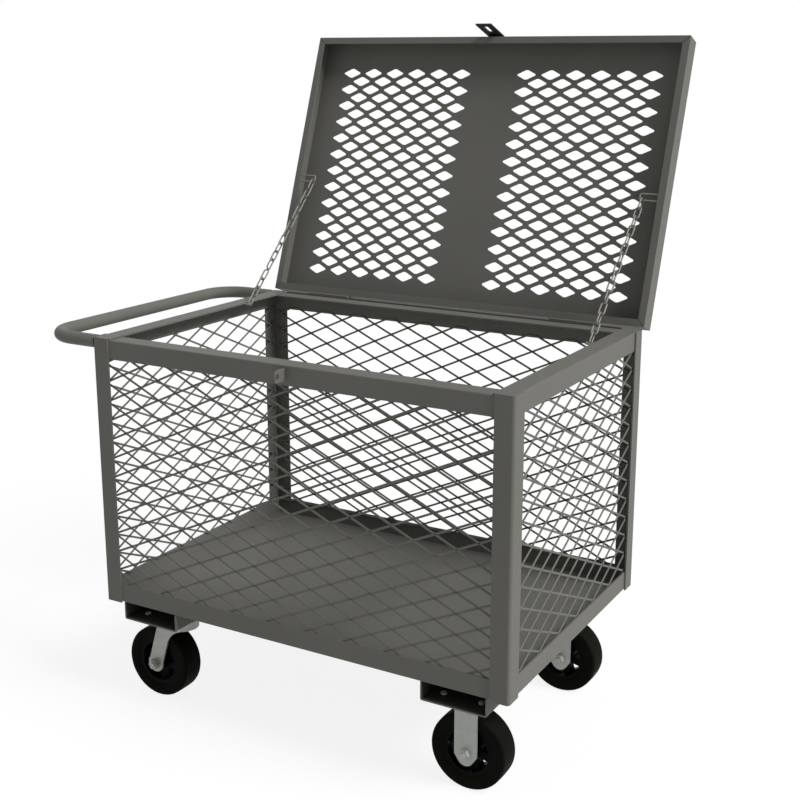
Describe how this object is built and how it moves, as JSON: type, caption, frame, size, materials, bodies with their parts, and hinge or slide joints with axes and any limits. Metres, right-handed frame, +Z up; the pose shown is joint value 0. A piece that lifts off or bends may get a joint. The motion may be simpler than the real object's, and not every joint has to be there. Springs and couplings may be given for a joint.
{
  "type": "mesh box trolley",
  "caption": "Steel box trolley with expanded-metal sides, a perforated hinged lid on chain stays, a padlock hasp, a tube push handle and swivel and rigid casters.",
  "frame": {"origin": "on the floor, under the middle of the box", "axes": "+X along the box, from the push handle and swivel casters to the rigid casters; +Y from the lock to the hinges; +Z up"},
  "size_m": [1.0643, 0.8916, 1.3874],
  "materials": {
    "grey_powder_coat": "satin powder coat",
    "mesh_paint": "satin powder coat on expanded metal",
    "chain_zinc": "dull zinc plate",
    "caster_zinc": "zinc plate",
    "bearing_steel": "ground steel",
    "pin_steel": "plain steel",
    "hub_black": "black enamel",
    "tyre_rubber": "matt black rubber"
  },
  "bodies": {
    "chassis": {"caster_bolts": "caster_zinc", "caster_channel_left": "grey_powder_coat", "caster_channel_right": "grey_powder_coat", "caster_nuts": "caster_zinc", "deck_pan": "grey_powder_coat", "hinge_pins": "pin_steel", "hinge_strip": "grey_powder_coat", "mesh_front": "mesh_paint", "mesh_left": "mesh_paint", "mesh_rear": "mesh_paint", "mesh_right": "mesh_paint", "padlock_lug": "grey_powder_coat", "post_front_left": "grey_powder_coat", "post_front_right": "grey_powder_coat", "post_rear_left": "grey_powder_coat", "post_rear_right": "grey_powder_coat", "push_handle": "grey_powder_coat", "rail_chain_eyes": "chain_zinc", "rail_front": "grey_powder_coat", "rail_left": "grey_powder_coat", "rail_rear": "grey_powder_coat", "rail_right": "grey_powder_coat", "rigid_axle_nuts": "caster_zinc", "rigid_axles": "caster_zinc", "rigid_fork_front": "caster_zinc", "rigid_fork_rear": "caster_zinc", "swivel_kingpins": "caster_zinc", "swivel_plate_front": "caster_zinc", "swivel_plate_rear": "caster_zinc"},
    "chain_left_lower": {"chain_left_lower": "chain_zinc"},
    "chain_left_middle": {"chain_left_middle": "chain_zinc"},
    "chain_left_upper": {"chain_left_upper": "chain_zinc"},
    "chain_right_lower": {"chain_right_lower": "chain_zinc"},
    "chain_right_middle": {"chain_right_middle": "chain_zinc"},
    "chain_right_upper": {"chain_right_upper": "chain_zinc"},
    "lid": {"hasp_leaf": "grey_powder_coat", "hasp_pin": "pin_steel", "hinge_lid_leaves": "grey_powder_coat", "lid_chain_eyes": "chain_zinc", "lid_pan": "grey_powder_coat"},
    "hasp": {"hasp_strap": "grey_powder_coat"},
    "rigid_wheel_front": {"rigid_bearing_front": "bearing_steel", "rigid_hub_front": "hub_black", "rigid_tyre_front": "tyre_rubber"},
    "rigid_wheel_rear": {"rigid_bearing_rear": "bearing_steel", "rigid_hub_rear": "hub_black", "rigid_tyre_rear": "tyre_rubber"},
    "swivel_front": {"swivel_axle_front": "caster_zinc", "swivel_axle_nut_front": "caster_zinc", "swivel_fork_front": "caster_zinc"},
    "swivel_rear": {"swivel_axle_nut_rear": "caster_zinc", "swivel_axle_rear": "caster_zinc", "swivel_fork_rear": "caster_zinc"},
    "swivel_wheel_front": {"swivel_bearing_front": "bearing_steel", "swivel_hub_front": "hub_black", "swivel_tyre_front": "tyre_rubber"},
    "swivel_wheel_rear": {"swivel_bearing_rear": "bearing_steel", "swivel_hub_rear": "hub_black", "swivel_tyre_rear": "tyre_rubber"}
  },
  "joints": [
    {"name": "lid_hinge", "type": "hinge", "parent": "chassis", "child": "lid", "pos_m": [0, 0.309, 0.7796], "axis": [1, 0, 0], "range_deg": [0, 110]},
    {"name": "hasp_hinge", "type": "hinge", "parent": "lid", "child": "hasp", "pos_m": [0.0003, 0.54738, 1.35795], "axis": [-1, 0, 0], "range_deg": [0, 150]},
    {"name": "swivel_front_turn", "type": "hinge", "parent": "chassis", "child": "swivel_front", "pos_m": [-0.347, -0.2187, 0.178], "axis": [0, 0, 1], "continuous": true},
    {"name": "swivel_rear_turn", "type": "hinge", "parent": "chassis", "child": "swivel_rear", "pos_m": [-0.347, 0.2187, 0.178], "axis": [0, 0, 1], "continuous": true},
    {"name": "rigid_wheel_front_spin", "type": "hinge", "parent": "chassis", "child": "rigid_wheel_front", "pos_m": [0.347, -0.2187, 0.0762], "axis": [0, 1, 0], "continuous": true},
    {"name": "rigid_wheel_rear_spin", "type": "hinge", "parent": "chassis", "child": "rigid_wheel_rear", "pos_m": [0.347, 0.2187, 0.0762], "axis": [0, 1, 0], "continuous": true},
    {"name": "swivel_wheel_front_spin", "type": "hinge", "parent": "swivel_front", "child": "swivel_wheel_front", "pos_m": [-0.3833, -0.2187, 0.0762], "axis": [0, 1, 0], "continuous": true},
    {"name": "swivel_wheel_rear_spin", "type": "hinge", "parent": "swivel_rear", "child": "swivel_wheel_rear", "pos_m": [-0.3833, 0.2187, 0.0762], "axis": [0, 1, 0], "continuous": true},
    {"name": "chain_left_upper_swing", "type": "hinge", "parent": "lid", "child": "chain_left_upper", "pos_m": [-0.4078, 0.40399, 1.02831], "axis": [1, 0, 0], "range_deg": [-107.85, 0]},
    {"name": "chain_left_middle_swing", "type": "hinge", "parent": "chain_left_upper", "child": "chain_left_middle", "pos_m": [-0.4078, 0.32093, 0.94828], "axis": [1, 0, 0], "range_deg": [0, 121.35]},
    {"name": "chain_left_lower_swing", "type": "hinge", "parent": "chassis", "child": "chain_left_lower", "pos_m": [-0.4078, 0.1438, 0.7776], "axis": [1, 0, 0], "range_deg": [-142.95, 0]},
    {"name": "chain_right_upper_swing", "type": "hinge", "parent": "lid", "child": "chain_right_upper", "pos_m": [0.4078, 0.40399, 1.02831], "axis": [1, 0, 0], "range_deg": [-107.85, 0]},
    {"name": "chain_right_middle_swing", "type": "hinge", "parent": "chain_right_upper", "child": "chain_right_middle", "pos_m": [0.4078, 0.32093, 0.94828], "axis": [1, 0, 0], "range_deg": [0, 121.35]},
    {"name": "chain_right_lower_swing", "type": "hinge", "parent": "chassis", "child": "chain_right_lower", "pos_m": [0.4078, 0.1438, 0.7776], "axis": [1, 0, 0], "range_deg": [-142.95, 0]}
  ],
  "couplings": [
    {"joint": "chain_left_upper_swing", "follows": "lid_hinge", "ratio": -0.98},
    {"joint": "chain_left_middle_swing", "follows": "lid_hinge", "ratio": 1.1027},
    {"joint": "chain_left_lower_swing", "follows": "lid_hinge", "ratio": -1.2991},
    {"joint": "chain_right_upper_swing", "follows": "lid_hinge", "ratio": -0.98},
    {"joint": "chain_right_middle_swing", "follows": "lid_hinge", "ratio": 1.1027},
    {"joint": "chain_right_lower_swing", "follows": "lid_hinge", "ratio": -1.2991}
  ]
}
